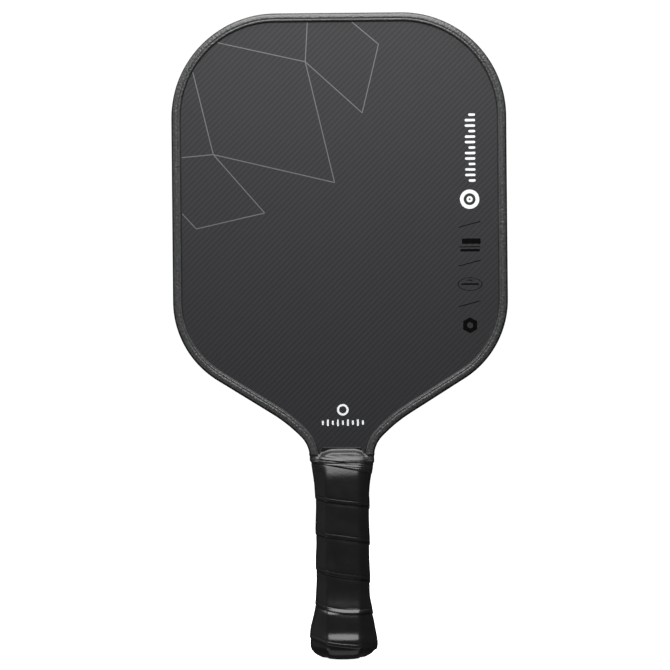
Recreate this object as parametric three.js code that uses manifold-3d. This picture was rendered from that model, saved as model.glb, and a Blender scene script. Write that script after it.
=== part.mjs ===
// A pickleball paddle, in millimetres: a honeycomb board with carbon faces, an edge guard round its head and a
// wrapped eight-sided handle. +Z runs up the handle to the head's tip, -Y is the front face, and the origin is
// on the handle's axis in the middle of the hand's hold.
import * as THREE from "three";
import { mergeVertices } from "three/addons/utils/BufferGeometryUtils.js";
import Module from "manifold-3d";

// Overall. Heights are measured from the butt end until the paddle is hung on its grip at the end.
const LENGTH = 401;
const WIDTH = 208;
const PALM_HEIGHT = 62;
const FIT_GAP = 0.1;
const PLY_GAP = 0.05;
const OVERCUT = 2;

// Silhouette of the head, the right half, from the middle of the top edge round to the neck.
const TOP_CORNER_RADIUS = 65;
const SIDE_LENGTH = 113.5;
const LOW_CORNER_RADIUS = 58;
const SHOULDER_TURN = 58;
const SHOULDER_LENGTH = 39.6;
const NECK_SWEEP_RADIUS = 95;
const NECK_SWEEP_TURN = 14;
const NECK_BEND_RADIUS = 18;
const NECK_BEND_TURN = 34;
const NECK_TAPER_LENGTH = 19.9;
const TANG_BEND_RADIUS = 60;
const TANG_BEND_TURN = 10;
const TAPER_ANGLE = THREE.MathUtils.degToRad(TANG_BEND_TURN);
const ARC_STEP = 6;

// Layers through the board, each side of its middle plane.
const CORE_HALF = 7;
const SCRIM_THICKNESS = 0.2;
const INNER_PLY_THICKNESS = 0.3;
const OUTER_PLY_THICKNESS = 0.35;
const SCRIM_FACE = CORE_HALF + PLY_GAP + SCRIM_THICKNESS;
const INNER_PLY_FACE = SCRIM_FACE + PLY_GAP + INNER_PLY_THICKNESS;
const BOARD_HALF = INNER_PLY_FACE + PLY_GAP + OUTER_PLY_THICKNESS;

// Layers round the board's edge, as insets from the silhouette.
const GUARD_WALL = 1.6;
const EDGE_TAPE_THICKNESS = 0.4;
const BOARD_INSET = GUARD_WALL + EDGE_TAPE_THICKNESS + 2 * FIT_GAP;
const FOAM_WIDTH = 5.8;
const LIP_WIDTH = 6.2;
const LIP_THICKNESS = 1.1;
const RIM_RADIUS = 2;
const GUARD_END = 126.5;
const FOAM_END = 131;
const EDGE_TAPE_END = 128;

// Handle: a tang with a pallet on each side, and a spigot at its foot for the butt cap.
const TANG_HALF_WIDTH = 13.7;
const PALLET_HALF_WIDTH = 13.6;
const PALLET_FACE = 12.3;
const PALLET_TOP = 129;
const PALLET_TOP_CORNER_RADIUS = 9;
const PALLET_FLARE_LENGTH = 8;
const PALLET_TAPER = { from: 110.5, slope: 0.25 };
const SPIGOT = { width: 12.6, depth: 10.9, flat: 9.7, side: 8, foot: 7, top: 38.2 };

// Grip: the wrapped surface is eight-sided. At each height it has a half width and a half depth, and half the
// breadth of its front flat and of its side flat; a slanting facet joins the two flats.
const WAIST = { width: 16.5, depth: 14.5, flat: 10.4, side: 8.4 };
const BUTT_FLARE = { width: 4.1, depth: 4.1, flat: -0.2, side: -0.2, from: 42, to: 10 };
const NECK_FLARE = { width: 2.85, depth: 0, flat: 0, side: 2, from: 100, to: 126 };
const NECK_TAPER = { width: 0, depth: -3.4, flat: 0, side: 0, from: 109, to: 133 };
const EDGE_ROUNDING = 3;
const BUTT_DOME_HEIGHT = 8.6;
const BUTT_DOME_POWER = 2.4;
const END_DISC_SHARE = 0.44;
const SKIN_THICKNESS = 0.6;
const BACKING_THICKNESS = 1.2;
const HANDLE_TAPE_THICKNESS = 0.12;
const WRAP_TOP = 123;
const WRAP_FOOT = 1.1;
const WRAP_DEPTH =
  SKIN_THICKNESS + BACKING_THICKNESS + HANDLE_TAPE_THICKNESS + 2 * PLY_GAP + FIT_GAP;

// Butt cap, its label, and the staples that pin the cap and the start of the grip.
const CAP_TOP = 38;
const CAP_SOCKET_CLEARANCE = 0.2;
const CAP_BOSS_RADIUS = 10.4;
const CAP_BOSS_ROUNDING = 0.5;
const CAP_BOSS_TOP = 3.1;
const LABEL_RADIUS = 8.8;
const LABEL_THICKNESS = 0.5;
const STAPLE = { width: 9, wire: 0.7, leg: 6.2 };
const CAP_STAPLE_HEIGHT = 25;
const GRIP_STAPLE_HEIGHT = 17;

// Finishing tape round the top of the grip, and its inner sections where it leaves the grip for the neck.
const TAPE_THICKNESS = 0.35;
const TAPE_FOOT = 118.5;
const TAPE_SLANT = 0.2;
const TAPE_ON_NECK = [
  { height: 126, width: 20.2, depth: 11.4, flat: 12, side: 9.1, rounding: 1.8 },
  { height: 129, width: 20.7, depth: 10.2, flat: 15, side: 9.1, rounding: 0.8 },
  { height: 131.3, width: 21.4, depth: 9.5, flat: 20.5, side: 8.6, rounding: 0.6 },
];

const POINTS_PER_CORNER = 3;
const SECTION_POINTS = 8 * POINTS_PER_CORNER;

const wasm = await Module();
wasm.setup();

// --- solids -----------------------------------------------------------------------------------------------

function solidOf(geometry) {
  const bare = geometry.clone();
  bare.deleteAttribute("normal");
  bare.deleteAttribute("uv");
  const merged = mergeVertices(bare, 1e-4);
  return new wasm.Manifold(
    new wasm.Mesh({
      numProp: 3,
      vertProperties: merged.attributes.position.array,
      triVerts: new Uint32Array(merged.index.array),
    }),
  );
}

function geometryOf(solid) {
  const { vertProperties, triVerts } = solid.getMesh();
  const geometry = new THREE.BufferGeometry();
  geometry.setAttribute("position", new THREE.BufferAttribute(vertProperties, 3));
  geometry.setIndex(new THREE.BufferAttribute(triVerts, 1));
  geometry.computeVertexNormals();
  return geometry;
}

function box(xFrom, xTo, yFrom, yTo, zFrom, zTo) {
  const geometry = new THREE.BoxGeometry(xTo - xFrom, yTo - yFrom, zTo - zFrom);
  return solidOf(geometry.translate((xFrom + xTo) / 2, (yFrom + yTo) / 2, (zFrom + zTo) / 2));
}

// A block wide enough to hold the whole paddle between two heights.
const band = (zFrom, zTo) => box(-WIDTH, WIDTH, -WIDTH, WIDTH, zFrom, zTo);

// A flat plate between two depths, from points in the XZ plane.
function plate(points, yFrom, yTo, options = {}) {
  const geometry = new THREE.ExtrudeGeometry(new THREE.Shape(points), {
    depth: yTo - yFrom,
    bevelEnabled: false,
    ...options,
  });
  return solidOf(geometry.rotateX(Math.PI / 2).translate(0, yTo, 0));
}

// --- outlines ---------------------------------------------------------------------------------------------

// Walks a pen from a start point, heading along +X. A step is a straight run, or a turn in degrees on a radius,
// to the right if positive. An inset moves the whole walk to the pen's right.
function walk(start, steps, inset) {
  const points = [new THREE.Vector2(start.x, start.y - inset)];
  let heading = 0;
  for (const { run, radius, turn } of steps) {
    const at = points.at(-1);
    if (run !== undefined) {
      points.push(new THREE.Vector2(run, 0).rotateAround(new THREE.Vector2(), heading).add(at));
      continue;
    }
    const side = Math.sign(turn);
    const bend = (radius - side * inset) * side;
    const centre = new THREE.Vector2(0, -bend).rotateAround(new THREE.Vector2(), heading).add(at);
    const count = Math.ceil(Math.abs(turn) / ARC_STEP);
    const step = -THREE.MathUtils.degToRad(turn) / count;
    for (let i = 1; i <= count; i += 1) {
      points.push(at.clone().rotateAround(centre, i * step));
    }
    heading += step * count;
  }
  return points;
}

// Mirrors a right half about the Z axis into a closed outline.
function mirrored(half) {
  const left = half.filter((p) => p.x > 1e-6).map((p) => new THREE.Vector2(-p.x, p.y));
  return [...half, ...left.reverse()];
}

const HEAD_STEPS = [
  { run: WIDTH / 2 - TOP_CORNER_RADIUS },
  { radius: TOP_CORNER_RADIUS, turn: 90 },
  { run: SIDE_LENGTH },
  { radius: LOW_CORNER_RADIUS, turn: SHOULDER_TURN },
  { run: SHOULDER_LENGTH },
  { radius: NECK_SWEEP_RADIUS, turn: -NECK_SWEEP_TURN },
  { radius: NECK_BEND_RADIUS, turn: -NECK_BEND_TURN },
];

// The silhouette moved inwards, with a taper below the neck that runs down to the given height.
function headOutline(inset, foot) {
  const half = walk({ x: 0, y: LENGTH }, HEAD_STEPS, inset);
  const neck = half.at(-1);
  half.push(new THREE.Vector2(neck.x - (neck.y - foot) * Math.tan(TAPER_ANGLE), foot));
  return mirrored(half);
}

// The board: the head with the tang that runs down inside the handle to the spigot's foot.
function boardOutline() {
  const steps = [
    ...HEAD_STEPS,
    { run: NECK_TAPER_LENGTH },
    { radius: TANG_BEND_RADIUS, turn: -TANG_BEND_TURN },
  ];
  const half = walk({ x: 0, y: LENGTH }, steps, BOARD_INSET);
  const waist = half.pop();
  half.push(new THREE.Vector2(TANG_HALF_WIDTH, waist.y));
  half.push(new THREE.Vector2(TANG_HALF_WIDTH, SPIGOT.foot));
  half.push(new THREE.Vector2(0, SPIGOT.foot));
  return mirrored(half);
}

// --- eight-sided sections ---------------------------------------------------------------------------------

// The flare's share at a height, from 0 where it starts to 1 where it is full.
function flareShare({ from, to }, height) {
  const share = THREE.MathUtils.clamp((height - from) / (to - from), 0, 1);
  return share * share * (3 - 2 * share);
}

// A section with each of its eight sides moved inwards.
function insetSection({ width, depth, flat, side, rounding }, inset) {
  const facet = new THREE.Vector2(depth - side, width - flat).normalize();
  const reach = flat * facet.x + depth * facet.y - inset;
  return {
    width: width - inset,
    depth: depth - inset,
    flat: (reach - (depth - inset) * facet.y) / facet.x,
    side: (reach - (width - inset) * facet.x) / facet.y,
    rounding: Math.max(rounding - inset, FIT_GAP),
  };
}

// The wrapped surface's section at a height, moved inwards by a depth.
function gripSection(height, depth) {
  const butt = flareShare(BUTT_FLARE, height);
  const neck = flareShare(NECK_FLARE, height);
  const taper = flareShare(NECK_TAPER, height);
  const size = (key) =>
    WAIST[key] + butt * BUTT_FLARE[key] + neck * NECK_FLARE[key] + taper * NECK_TAPER[key];
  const section = {
    width: size("width"),
    depth: size("depth"),
    flat: size("flat"),
    side: size("side"),
    rounding: EDGE_ROUNDING,
  };
  return insetSection(section, depth);
}

// The butt's dome, as a share of the full section at a height.
function domeShare(height) {
  const rise = THREE.MathUtils.clamp(1 - height / BUTT_DOME_HEIGHT, 0, 1);
  const flat = END_DISC_SHARE ** BUTT_DOME_POWER;
  return (1 - (1 - flat) * rise * rise) ** (1 / BUTT_DOME_POWER);
}

// The points of an eight-sided section with rounded corners, anticlockwise from -Y.
function sectionPoints({ width, depth, flat, side, rounding }) {
  const facet = Math.atan2(flat - width, depth - side);
  const corner = (at, from, to) => {
    const back = -rounding / Math.cos((to - from) / 2);
    const centre = new THREE.Vector2(back, 0).rotateAround(new THREE.Vector2(), (from + to) / 2).add(at);
    return Array.from({ length: POINTS_PER_CORNER }, (_, i) => {
      const facing = from + (i / (POINTS_PER_CORNER - 1)) * (to - from);
      return new THREE.Vector2(rounding, 0).rotateAround(new THREE.Vector2(), facing).add(centre);
    });
  };
  const frontRight = [
    ...corner(new THREE.Vector2(flat, -depth), -Math.PI / 2, facet),
    ...corner(new THREE.Vector2(width, -side), facet, 0),
  ];
  const backRight = frontRight.map((p) => new THREE.Vector2(p.x, -p.y)).reverse();
  const right = [...frontRight, ...backRight];
  const left = right.map((p) => new THREE.Vector2(-p.x, p.y)).reverse();
  return [...right, ...left];
}

const circlePoints = (radius) =>
  Array.from({ length: SECTION_POINTS }, (_, i) => {
    const turn = ((i + 0.5) / SECTION_POINTS) * 2 * Math.PI - Math.PI / 2;
    return new THREE.Vector2(radius, 0).rotateAround(new THREE.Vector2(), turn);
  });

// A body through rings of section points, bottom to top on the outside: a lathe whose rings take those shapes.
// A hollow body's rings come back down inside and close on the first.
function lofted(rings) {
  const profile = rings.map((ring) => new THREE.Vector2(1, ring.height));
  const geometry = new THREE.LatheGeometry(profile, SECTION_POINTS);
  const position = geometry.getAttribute("position");
  for (let column = 0; column <= SECTION_POINTS; column += 1) {
    rings.forEach(({ height, points }, row) => {
      const at = points[column % SECTION_POINTS];
      position.setXYZ(column * rings.length + row, at.x, at.y, height);
    });
  }
  return solidOf(geometry);
}

const axisRing = (height) => ({ height, points: circlePoints(0) });
const roundRing = (height, radius) => ({ height, points: circlePoints(radius) });
const sectionRing = (height, section) => ({ height, points: sectionPoints(section) });

// A ring of the wrapped surface, moved inwards by a depth, with the butt's dome at its foot.
function gripRing(height, depth) {
  const share = domeShare(height);
  const points = sectionPoints(gripSection(Math.max(height, BUTT_DOME_HEIGHT), depth));
  const lift = depth * THREE.MathUtils.clamp(1 - height / BUTT_DOME_HEIGHT, 0, 1);
  return { height: height + lift, points: points.map((p) => p.clone().multiplyScalar(share)) };
}

const DOME_HEIGHTS = [WRAP_FOOT, 2, 3.6, 5.8, BUTT_DOME_HEIGHT];
const FLARE_HEIGHTS = [13, 18, 23, 28, 34, BUTT_FLARE.from];
const NECK_HEIGHTS = [NECK_FLARE.from, 105, NECK_TAPER.from, 113, 117, 120, WRAP_TOP];

// A solid through rings, closed flat at its ends. A reach past the ends carries them on straight.
function closedLoft(rings, reach = 0) {
  const [foot, top] = [rings[0], rings.at(-1)];
  const low = { ...foot, height: foot.height - reach };
  const high = { ...top, height: top.height + reach };
  const ends = reach > 0 ? [low, ...rings, high] : rings;
  return lofted([axisRing(low.height), ...ends, axisRing(high.height)]);
}

// All that lies deeper than a depth under the wrapped surface.
function underWrap(depth, reach) {
  const heights = [...DOME_HEIGHTS, ...FLARE_HEIGHTS, ...NECK_HEIGHTS];
  return closedLoft(heights.map((height) => gripRing(height, depth)), reach);
}

// A hollow sleeve between two depths under the wrapped surface.
const gripSleeve = (outerDepth, innerDepth) =>
  underWrap(outerDepth).subtract(underWrap(innerDepth, OVERCUT));

// --- board ------------------------------------------------------------------------------------------------

// The spigot's section, or the cap's socket for it with a clearance all round.
const spigotSection = (clearance) => insetSection({ ...SPIGOT, rounding: FIT_GAP }, -clearance);

// An eight-sided post between two heights.
function post(section, from, to) {
  return lofted([axisRing(from), sectionRing(from, section), sectionRing(to, section), axisRing(to)]);
}

// What the spigot leaves off: everything round it, below the pallets' shoulders.
function spigotCutter() {
  const around = box(-WIDTH, WIDTH, -WIDTH, WIDTH, 0, SPIGOT.top);
  return around.subtract(post(spigotSection(0), -OVERCUT, SPIGOT.top + OVERCUT));
}

const offSpigot = spigotCutter();

function honeycombCore() {
  const inset = BOARD_INSET + FOAM_WIDTH + FIT_GAP;
  const head = plate(headOutline(inset, FOAM_END - OVERCUT), -CORE_HALF, CORE_HALF);
  const tang = plate(boardOutline(), -CORE_HALF, CORE_HALF).intersect(band(0, FOAM_END - FIT_GAP));
  return head.add(tang).subtract(offSpigot);
}

// A ring as deep as the core, inset from the silhouette, down to its two ends at the neck.
function edgeRing(inset, width, end) {
  const whole = plate(headOutline(inset, end - OVERCUT), -CORE_HALF, CORE_HALF);
  const inside = plate(headOutline(inset + width, end - 2 * OVERCUT), -LENGTH, LENGTH);
  return whole.subtract(inside).intersect(band(end, LENGTH));
}

function edgeFoam() {
  return edgeRing(BOARD_INSET, FOAM_WIDTH, FOAM_END);
}

const layer = (face, thickness) =>
  plate(boardOutline(), face - thickness, face).subtract(offSpigot);

function edgeTape() {
  return edgeRing(GUARD_WALL + FIT_GAP, EDGE_TAPE_THICKNESS, EDGE_TAPE_END);
}

function edgeGuard() {
  const lipInside = BOARD_HALF + FIT_GAP;
  const lipFace = lipInside + LIP_THICKNESS;
  const flat = lipFace - RIM_RADIUS;
  const body = plate(headOutline(RIM_RADIUS, GUARD_END - 2 * OVERCUT), -flat, flat, {
    bevelEnabled: true,
    bevelThickness: RIM_RADIUS,
    bevelSize: RIM_RADIUS,
    bevelSegments: 2,
  });
  const foot = GUARD_END - 4 * OVERCUT;
  const channel = plate(headOutline(GUARD_WALL, foot), -lipInside, lipInside);
  const window = plate(headOutline(LIP_WIDTH, foot), -LENGTH, LENGTH);
  return body.subtract(channel).subtract(window).intersect(band(GUARD_END, LENGTH));
}

// --- handle -----------------------------------------------------------------------------------------------

// A pallet on the board's back, chamfered all round its outer face. The front one is the same part turned round.
function handlePallet() {
  const chamfer = PALLET_FACE - BOARD_HALF - PLY_GAP;
  const flareTop = PALLET_HALF_WIDTH + TANG_BEND_RADIUS * (1 - Math.cos(TAPER_ANGLE));
  const cornerEnd = flareTop + PALLET_FLARE_LENGTH * Math.sin(TAPER_ANGLE);
  const cornerReach = PALLET_TOP_CORNER_RADIUS * Math.cos(TAPER_ANGLE);
  const steps = [
    { run: cornerEnd - cornerReach },
    { radius: PALLET_TOP_CORNER_RADIUS, turn: 90 + TANG_BEND_TURN },
    { run: PALLET_FLARE_LENGTH },
    { radius: TANG_BEND_RADIUS, turn: -TANG_BEND_TURN },
  ];
  const half = walk({ x: 0, y: PALLET_TOP }, steps, chamfer);
  half.push(new THREE.Vector2(half.at(-1).x, SPIGOT.foot + chamfer));
  half.push(new THREE.Vector2(0, SPIGOT.foot + chamfer));
  const whole = plate(mirrored(half), BOARD_HALF - PLY_GAP, BOARD_HALF + PLY_GAP, {
    bevelEnabled: true,
    bevelThickness: chamfer,
    bevelSize: chamfer,
    bevelSegments: 1,
  });
  const outside = new THREE.BoxGeometry(WIDTH, WIDTH, WIDTH)
    .translate(0, WIDTH / 2, WIDTH / 2)
    .rotateX(Math.atan(PALLET_TAPER.slope))
    .translate(0, PALLET_FACE, PALLET_TAPER.from);
  return whole
    .intersect(box(-WIDTH, WIDTH, BOARD_HALF + PLY_GAP, LENGTH, 0, LENGTH))
    .intersect(underWrap(WRAP_DEPTH, OVERCUT).add(band(WRAP_TOP, LENGTH)))
    .subtract(solidOf(outside))
    .subtract(offSpigot);
}

// A staple driven into the back of the butt cap, or the room it needs with a clearance all round.
function staple(height, clearance) {
  const face = gripSection(height, WRAP_DEPTH).depth + FIT_GAP;
  const half = STAPLE.width / 2;
  const low = height - STAPLE.wire / 2 - clearance;
  const high = height + STAPLE.wire / 2 + clearance;
  const outside = box(
    -half - clearance,
    half + clearance,
    face - STAPLE.leg - clearance,
    face + STAPLE.wire + clearance,
    low,
    high,
  );
  const inner = half - STAPLE.wire - clearance;
  return outside.subtract(box(-inner, inner, 0, face - clearance, 0, LENGTH));
}

// A solid turned half way round the handle's axis.
const turnedRound = (solid) => solidOf(geometryOf(solid).rotateZ(Math.PI));

const backStapleRoom = staple(CAP_STAPLE_HEIGHT, FIT_GAP);
const gripStapleRoom = staple(GRIP_STAPLE_HEIGHT, FIT_GAP);
const stapleRoom = backStapleRoom.add(turnedRound(backStapleRoom)).add(gripStapleRoom);

function buttCap() {
  const boss = [
    axisRing(0),
    roundRing(0, CAP_BOSS_RADIUS - CAP_BOSS_ROUNDING),
    roundRing(CAP_BOSS_ROUNDING, CAP_BOSS_RADIUS),
    roundRing(CAP_BOSS_TOP, CAP_BOSS_RADIUS),
  ];
  const flare = FLARE_HEIGHTS.filter((height) => height < CAP_TOP);
  const skirtHeights = [...DOME_HEIGHTS.slice(1), ...flare, CAP_TOP];
  const skirt = skirtHeights.map((height) => gripRing(height, WRAP_DEPTH));
  const body = lofted([...boss, ...skirt, axisRing(CAP_TOP)]);
  const socket = post(spigotSection(CAP_SOCKET_CLEARANCE), SPIGOT.foot - FIT_GAP, CAP_TOP + OVERCUT);
  const recess = disc(LABEL_RADIUS + FIT_GAP, 2 * (LABEL_THICKNESS + PLY_GAP));
  return body.subtract(socket).subtract(recess).subtract(stapleRoom);
}

// A disc on the handle's axis, centred on the butt's end.
const disc = (radius, thickness) =>
  solidOf(new THREE.CylinderGeometry(radius, radius, thickness, SECTION_POINTS).rotateX(Math.PI / 2));

const buttLabel = () => disc(LABEL_RADIUS, 2 * LABEL_THICKNESS).intersect(band(0, LABEL_THICKNESS));

// --- grip -------------------------------------------------------------------------------------------------

const gripSkin = () => gripSleeve(0, SKIN_THICKNESS);

function gripBacking() {
  const outer = SKIN_THICKNESS + PLY_GAP;
  return gripSleeve(outer, outer + BACKING_THICKNESS).subtract(stapleRoom);
}

function handleTape() {
  const outer = SKIN_THICKNESS + BACKING_THICKNESS + 2 * PLY_GAP;
  return gripSleeve(outer, outer + HANDLE_TAPE_THICKNESS).subtract(stapleRoom);
}

// The glossy tape over the top of the grip, from the edge guard's ends down to a slanting lower edge.
function finishingTape() {
  const wrapHeights = NECK_HEIGHTS.filter((height) => height >= NECK_TAPER.from && height < WRAP_TOP);
  const overWrap = wrapHeights.map((height) => ({ height, ...gripSection(height, -FIT_GAP) }));
  const overWrapTop = { height: WRAP_TOP + FIT_GAP, ...gripSection(WRAP_TOP, -FIT_GAP) };
  const inner = [...overWrap, overWrapTop, ...TAPE_ON_NECK];
  const outer = inner.map((level) => ({
    height: level.height,
    ...insetSection(level, -TAPE_THICKNESS),
  }));
  const rings = (levels) => levels.map((level) => sectionRing(level.height, level));
  const sleeve = closedLoft(rings(outer)).subtract(closedLoft(rings(inner), OVERCUT));
  const below = new THREE.BoxGeometry(2 * WIDTH, 2 * WIDTH, WIDTH)
    .translate(0, 0, -WIDTH / 2)
    .rotateY(Math.atan(TAPE_SLANT))
    .translate(0, 0, TAPE_FOOT);
  return sleeve.subtract(solidOf(below));
}

// --- scene graph ------------------------------------------------------------------------------------------

const material = (color, roughness, metalness = 0) =>
  new THREE.MeshStandardMaterial({ color, roughness, metalness });

const MATERIALS = {
  honeycomb: material(0xd9dad6, 0.6),
  scrim: material(0xe8e8e4, 0.9),
  foam: material(0x2b2b2d, 0.9),
  innerPly: material(0x2c2d30, 0.6),
  carbon: material(0x3a3b3f, 0.5),
  adhesive: material(0xb9b6a8, 0.5),
  guard: material(0x2a2a2b, 0.6),
  pallet: material(0x1f1f20, 0.8),
  cap: material(0x191919, 0.55),
  label: material(0x3c3d3f, 0.35),
  steel: material(0xb4b6b8, 0.3, 1),
  backing: material(0x3b3b3a, 0.95),
  skin: material(0x1b1a1b, 0.4),
  tape: material(0x131314, 0.15),
};

function mesh(name, solid, finish) {
  const made = new THREE.Mesh(geometryOf(solid), MATERIALS[finish]);
  made.name = name;
  return made;
}

// What both sides have alike, made for the back: the layers on the core, the pallet and the cap's staple.
function sideStack(side, pallet) {
  const stack = new THREE.Group();
  stack.add(
    mesh(`${side}_scrim`, layer(SCRIM_FACE, SCRIM_THICKNESS), "scrim"),
    mesh(`${side}_inner_ply`, layer(INNER_PLY_FACE, INNER_PLY_THICKNESS), "innerPly"),
    mesh(`${side}_outer_ply`, layer(BOARD_HALF, OUTER_PLY_THICKNESS), "carbon"),
    mesh(`${side}_handle_pallet`, pallet.subtract(backStapleRoom), "pallet"),
    mesh(`${side}_cap_staple`, staple(CAP_STAPLE_HEIGHT, 0), "steel"),
  );
  return stack;
}

const backStack = sideStack("back", handlePallet().subtract(gripStapleRoom));
const frontStack = sideStack("front", handlePallet());
frontStack.rotation.z = Math.PI;

const middle = new THREE.Group();
middle.add(
  mesh("honeycomb_core", honeycombCore(), "honeycomb"),
  mesh("edge_foam", edgeFoam(), "foam"),
  mesh("edge_tape", edgeTape(), "adhesive"),
  mesh("edge_guard", edgeGuard(), "guard"),
);

const grip = new THREE.Group();
grip.add(
  mesh("butt_cap", buttCap(), "cap"),
  mesh("butt_label", buttLabel(), "label"),
  mesh("grip_staple", staple(GRIP_STAPLE_HEIGHT, 0), "steel"),
  mesh("handle_tape", handleTape(), "adhesive"),
  mesh("grip_backing", gripBacking(), "backing"),
  mesh("grip_skin", gripSkin(), "skin"),
  mesh("finishing_tape", finishingTape(), "tape"),
);

const paddle = new THREE.Group();
paddle.add(middle, backStack, frontStack, grip);
paddle.position.setZ(-PALM_HEIGHT);

export default paddle;
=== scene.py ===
"""Looks of a pickleball paddle: moulded edge guard, twill faces, wound grip, glossy tape and prints.

The classes hold sizes in millimetres, with heights measured up from the butt's end. A finished mesh is moved
into the paddle's own frame in metres: origin on the handle's axis in the palm, +Z to the tip, -Y the front.
"""

from __future__ import annotations

import logging
import math
from dataclasses import dataclass
from enum import Enum

import bmesh
import bpy
from mathutils import Matrix, Vector

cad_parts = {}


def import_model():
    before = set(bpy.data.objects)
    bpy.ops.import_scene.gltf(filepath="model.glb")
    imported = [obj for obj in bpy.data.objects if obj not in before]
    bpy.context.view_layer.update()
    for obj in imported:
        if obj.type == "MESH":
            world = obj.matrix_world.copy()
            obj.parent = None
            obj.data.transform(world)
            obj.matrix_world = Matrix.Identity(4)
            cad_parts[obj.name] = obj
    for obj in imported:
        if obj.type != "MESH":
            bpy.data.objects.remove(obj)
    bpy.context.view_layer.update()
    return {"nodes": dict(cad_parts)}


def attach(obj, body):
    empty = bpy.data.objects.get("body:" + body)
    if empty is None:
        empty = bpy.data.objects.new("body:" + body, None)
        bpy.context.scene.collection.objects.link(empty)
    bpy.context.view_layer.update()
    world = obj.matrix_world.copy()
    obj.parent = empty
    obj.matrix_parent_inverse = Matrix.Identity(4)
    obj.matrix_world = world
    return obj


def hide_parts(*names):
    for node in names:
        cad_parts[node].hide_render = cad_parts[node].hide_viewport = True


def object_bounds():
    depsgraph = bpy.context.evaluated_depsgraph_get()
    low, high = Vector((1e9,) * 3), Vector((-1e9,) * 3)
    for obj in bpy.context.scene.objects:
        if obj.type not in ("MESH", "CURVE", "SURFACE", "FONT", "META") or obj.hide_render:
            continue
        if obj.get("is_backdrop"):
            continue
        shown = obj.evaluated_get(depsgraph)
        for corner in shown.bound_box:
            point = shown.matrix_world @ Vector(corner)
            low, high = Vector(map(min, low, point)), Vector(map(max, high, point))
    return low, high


log = logging.getLogger("paddle")

BMesh, BMVert, BMEdge = bmesh.types.BMesh, bmesh.types.BMVert, bmesh.types.BMEdge
Material, Socket = bpy.types.Material, bpy.types.NodeSocket
Pair = tuple[float, float]
Colour = tuple[float, float, float]
Point = tuple[float, float, float]
Sizes = tuple[float, float, float, float]

MM = 0.001
PALM_HEIGHT = 62.0
BOARD_HALF = 8.0
TO_FRAME = Matrix.Scale(MM, 4) @ Matrix.Translation((0, 0, -PALM_HEIGHT))
BODY = "root"


class Side(Enum):
    """A face of the paddle, by the direction in which it faces along Y."""

    FRONT = -1
    BACK = 1


# --- small tools -------------------------------------------------------------


def smooth_share(value: float, start: float, end: float) -> float:
    """Gives a smooth share of the way from a start to an end.

    Args:
        value: Where to read the share.
        start: Where the share is 0.
        end: Where the share is 1.

    Returns:
        The share, from 0 to 1, level at both ends.
    """
    share = min(max((value - start) / (end - start), 0.0), 1.0)
    return share * share * (3 - 2 * share)


@dataclass(frozen=True)
class Fade:
    """An amount that comes in smoothly between two places."""

    amount: float
    start: float
    full: float

    def at(self, place: float) -> float:
        """Gives how much of the amount there is at a place."""
        return self.amount * smooth_share(place, self.start, self.full)


def bell(distance: float, spread: float) -> float:
    """Gives a bell curve's height at a distance from its middle, 1 in the middle."""
    return math.exp(-((distance / spread) ** 2))


def finished(name: str, maker: BMesh, materials: list[Material], crease: float) -> bpy.types.Object:
    """Turns a bmesh in millimetres into a riding object in the paddle's frame.

    Args:
        name: The piece's name.
        maker: The mesh, closed, in millimetres from the butt's end. It is freed.
        materials: The piece's materials in slot order.
        crease: The angle in degrees from which an edge stays sharp.

    Returns:
        The object, at the origin, riding on the paddle's body.
    """
    maker.transform(TO_FRAME)
    for face in maker.faces:
        face.smooth = True
    mesh = bpy.data.meshes.new(name)
    maker.to_mesh(mesh)
    maker.free()
    mesh.set_sharp_from_angle(angle=math.radians(crease))
    for material in materials:
        mesh.materials.append(material)
    piece = bpy.data.objects.new(name, mesh)
    bpy.context.scene.collection.objects.link(piece)
    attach(piece, BODY)
    log.info("%s: %d vertices, %d faces", name, len(mesh.vertices), len(mesh.polygons))
    return piece


def only(items: list, kind: type) -> list:
    """Gives the mesh items of one kind, in order."""
    return [item for item in items if isinstance(item, kind)]


def closed(maker: BMesh, merge: float = 1e-4) -> None:
    """Merges doubles, fills open loops and turns the faces outwards.

    Args:
        maker: The mesh to close, in millimetres.
        merge: The distance within which vertices are one.
    """
    bmesh.ops.remove_doubles(maker, verts=maker.verts[:], dist=merge)
    open_edges = [edge for edge in maker.edges if edge.is_boundary]
    if open_edges:
        bmesh.ops.holes_fill(maker, edges=open_edges, sides=0)
    bmesh.ops.recalc_face_normals(maker, faces=maker.faces[:])


# --- finishes ----------------------------------------------------------------


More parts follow.
